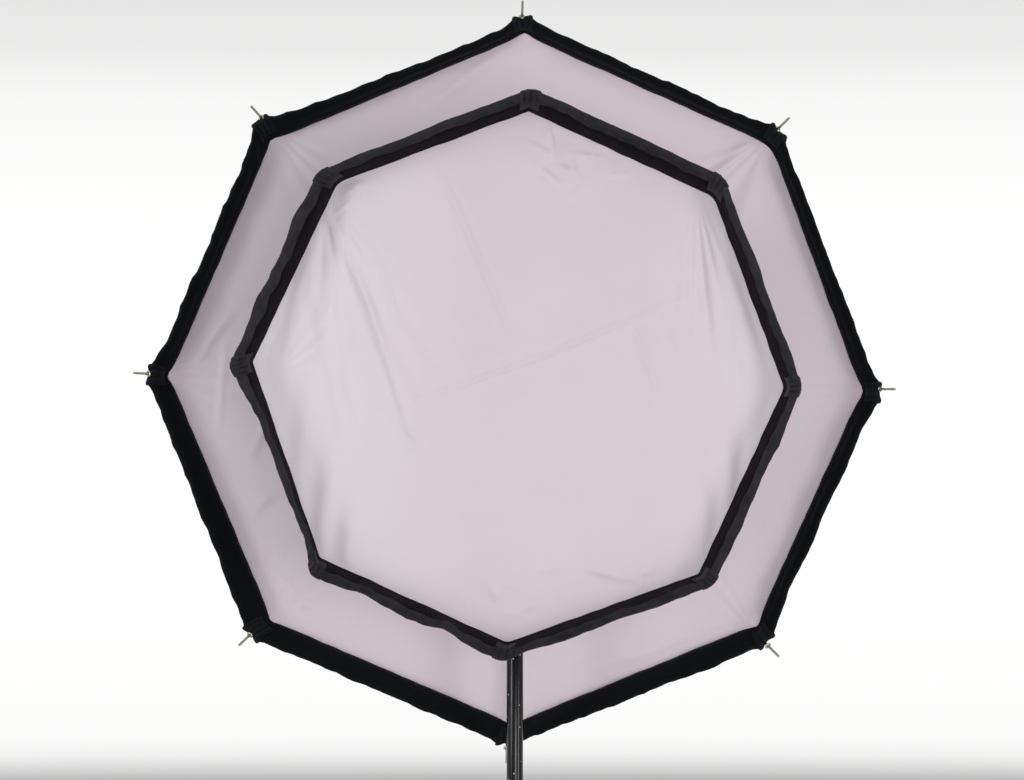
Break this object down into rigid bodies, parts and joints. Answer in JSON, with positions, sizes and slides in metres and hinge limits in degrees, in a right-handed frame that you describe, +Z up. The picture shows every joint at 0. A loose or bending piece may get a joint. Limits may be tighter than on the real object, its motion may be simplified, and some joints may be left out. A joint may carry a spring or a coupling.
{
  "type": "studio softbox",
  "caption": "Two nested octagonal light boxes, a small one in front of a large one, on a tilting lamp head and a folding tripod stand.",
  "frame": {"origin": "on the floor under the column, at the centre of the bounding box's base", "axes": "+Z up, +Y towards the rear of the boxes (their white fronts face -Y), +X to the right seen from the front"},
  "size_m": [1.4024, 1.124, 2.1012],
  "materials": {
    "column_gloss": "glossy black anodised",
    "clamp_plastic": "satin black moulded",
    "foot_rubber": "matt",
    "bright_steel": "bright machined",
    "rod_steel": "drawn spring steel",
    "dark_metal": "satin black anodised",
    "housing_plastic": "fine textured black",
    "rocker_rubber": "semi-gloss black",
    "led": "phosphor yellow",
    "clear_glass": "clear",
    "black_fabric": "matt black woven",
    "rim_fabric": "satin dark grey woven",
    "white_fabric": "translucent white ripstop"
  },
  "bodies": {
    "stand": {"lower_column": "column_gloss", "lower_clamp": "clamp_plastic", "base_collar": "clamp_plastic"},
    "middle_mast": {"middle_column": "column_gloss", "upper_clamp": "clamp_plastic"},
    "upper_mast": {"upper_column": "column_gloss", "spigot": "bright_steel"},
    "yoke": {"tilt_yoke": "dark_metal", "pivot_bolt": "bright_steel"},
    "head": {"head_housing": "housing_plastic", "control_box": "housing_plastic", "spine_tube": "bright_steel", "front_led": "led", "front_glass": "clear_glass", "rear_led": "led", "rear_glass": "clear_glass", "mains_inlet": "housing_plastic"},
    "front_box": {"front_shell": "black_fabric", "front_lip": "rim_fabric", "front_diffuser": "white_fabric", "front_baffle": "white_fabric", "speedring": "dark_metal", "front_rod_1": "rod_steel", "front_rod_2": "rod_steel", "front_rod_3": "rod_steel", "front_rod_4": "rod_steel", "front_rod_5": "rod_steel", "front_rod_6": "rod_steel", "front_rod_7": "rod_steel", "front_rod_8": "rod_steel"},
    "rear_box": {"rear_shell": "black_fabric", "rear_lip": "black_fabric", "rear_diffuser": "white_fabric", "rear_hub": "dark_metal", "rear_rod_1": "rod_steel", "rear_rod_2": "rod_steel", "rear_rod_3": "rod_steel", "rear_rod_4": "rod_steel", "rear_rod_5": "rod_steel", "rear_rod_6": "rod_steel", "rear_rod_7": "rod_steel", "rear_rod_8": "rod_steel"},
    "rear_knob": {"tension_knob": "clamp_plastic"},
    "leg_slider": {"leg_collar": "clamp_plastic"},
    "leg_arm_1": {"leg_1": "column_gloss", "foot_1": "foot_rubber"},
    "leg_arm_2": {"leg_2": "column_gloss", "foot_2": "foot_rubber"},
    "leg_arm_3": {"leg_3": "column_gloss", "foot_3": "foot_rubber"},
    "brace_arm_1": {"brace_1": "column_gloss"},
    "brace_arm_2": {"brace_2": "column_gloss"},
    "brace_arm_3": {"brace_3": "column_gloss"},
    "lower_knob": {"lower_clamp_knob": "clamp_plastic"},
    "upper_knob": {"upper_clamp_knob": "clamp_plastic"},
    "collar_knob": {"leg_collar_knob": "clamp_plastic"},
    "yoke_knob": {"socket_knob": "clamp_plastic"},
    "lever": {"tilt_lever": "clamp_plastic"},
    "dial": {"dimmer_dial": "dark_metal"},
    "rocker": {"power_rocker": "rocker_rubber"}
  },
  "joints": [
    {"name": "middle_mast_slide", "type": "slide", "parent": "stand", "child": "middle_mast", "axis": [0, 0, 1], "range_m": [-0.05, 0.25]},
    {"name": "upper_mast_slide", "type": "slide", "parent": "middle_mast", "child": "upper_mast", "axis": [0, 0, 1], "range_m": [-0.1, 0.2]},
    {"name": "pan_turn", "type": "hinge", "parent": "upper_mast", "child": "yoke", "pos_m": [0, 0, 1.269], "axis": [0, 0, 1], "continuous": true},
    {"name": "tilt_turn", "type": "hinge", "parent": "yoke", "child": "head", "pos_m": [0, 0, 1.4], "axis": [1, 0, 0], "range_deg": [-2, 25]},
    {"name": "front_box_roll", "type": "hinge", "parent": "head", "child": "front_box", "pos_m": [0, -0.09, 1.4], "axis": [0, 1, 0], "continuous": true},
    {"name": "rear_box_roll", "type": "hinge", "parent": "head", "child": "rear_box", "pos_m": [0, 0.49, 1.4], "axis": [0, 1, 0], "continuous": true},
    {"name": "tension_knob_turn", "type": "hinge", "parent": "head", "child": "rear_knob", "pos_m": [0, 0.53, 1.4], "axis": [0, 1, 0], "continuous": true},
    {"name": "leg_collar_slide", "type": "slide", "parent": "stand", "child": "leg_slider", "axis": [0, 0, 1], "range_m": [0, 0.18]},
    {"name": "leg_1_fold", "type": "hinge", "parent": "leg_slider", "child": "leg_arm_1", "pos_m": [0, -0.042, 0.4], "axis": [1, 0, 0], "range_deg": [0, 43.9]},
    {"name": "leg_2_fold", "type": "hinge", "parent": "leg_slider", "child": "leg_arm_2", "pos_m": [0.03637, 0.021, 0.4], "axis": [-0.5, 0.866, 0], "range_deg": [0, 43.9]},
    {"name": "leg_3_fold", "type": "hinge", "parent": "leg_slider", "child": "leg_arm_3", "pos_m": [-0.03637, 0.021, 0.4], "axis": [-0.5, -0.866, 0], "range_deg": [0, 43.9]},
    {"name": "brace_1_fold", "type": "hinge", "parent": "stand", "child": "brace_arm_1", "pos_m": [0, -0.042, 0.10499], "axis": [-1, 0, 0], "range_deg": [0, 43.9]},
    {"name": "brace_2_fold", "type": "hinge", "parent": "stand", "child": "brace_arm_2", "pos_m": [0.03637, 0.021, 0.10499], "axis": [0.5, -0.866, 0], "range_deg": [0, 43.9]},
    {"name": "brace_3_fold", "type": "hinge", "parent": "stand", "child": "brace_arm_3", "pos_m": [-0.03637, 0.021, 0.10499], "axis": [0.5, 0.866, 0], "range_deg": [0, 43.9]},
    {"name": "lower_clamp_knob_turn", "type": "hinge", "parent": "stand", "child": "lower_knob", "pos_m": [0.046, 0, 0.639], "axis": [1, 0, 0], "range_deg": [0, 360]},
    {"name": "upper_clamp_knob_turn", "type": "hinge", "parent": "middle_mast", "child": "upper_knob", "pos_m": [0.0435, 0, 0.984], "axis": [1, 0, 0], "range_deg": [0, 360]},
    {"name": "leg_collar_knob_turn", "type": "hinge", "parent": "leg_slider", "child": "collar_knob", "pos_m": [0.04244, -0.0245, 0.4], "axis": [0.866, -0.5, 0], "range_deg": [0, 360]},
    {"name": "socket_knob_turn", "type": "hinge", "parent": "yoke", "child": "yoke_knob", "pos_m": [-0.039, 0, 1.269], "axis": [-1, 0, 0], "range_deg": [0, 360]},
    {"name": "tilt_lever_turn", "type": "hinge", "parent": "yoke", "child": "lever", "pos_m": [0.07, 0, 1.4], "axis": [1, 0, 0], "range_deg": [-50, 50]},
    {"name": "dimmer_dial_turn", "type": "hinge", "parent": "head", "child": "dial", "pos_m": [0, -0.024, 1.476], "axis": [0, 0, -1], "range_deg": [0, 270]},
    {"name": "power_rocker_tip", "type": "hinge", "parent": "head", "child": "rocker", "pos_m": [0, 0.012, 1.476], "axis": [1, 0, 0], "range_deg": [-16, 0]}
  ],
  "couplings": [
    {"joint": "leg_1_fold", "follows": "leg_collar_slide", "rad_per_m": 4.2476},
    {"joint": "leg_2_fold", "follows": "leg_collar_slide", "rad_per_m": 4.2476},
    {"joint": "leg_3_fold", "follows": "leg_collar_slide", "rad_per_m": 4.2476},
    {"joint": "brace_1_fold", "follows": "leg_collar_slide", "rad_per_m": 4.2476},
    {"joint": "brace_2_fold", "follows": "leg_collar_slide", "rad_per_m": 4.2476},
    {"joint": "brace_3_fold", "follows": "leg_collar_slide", "rad_per_m": 4.2476}
  ]
}
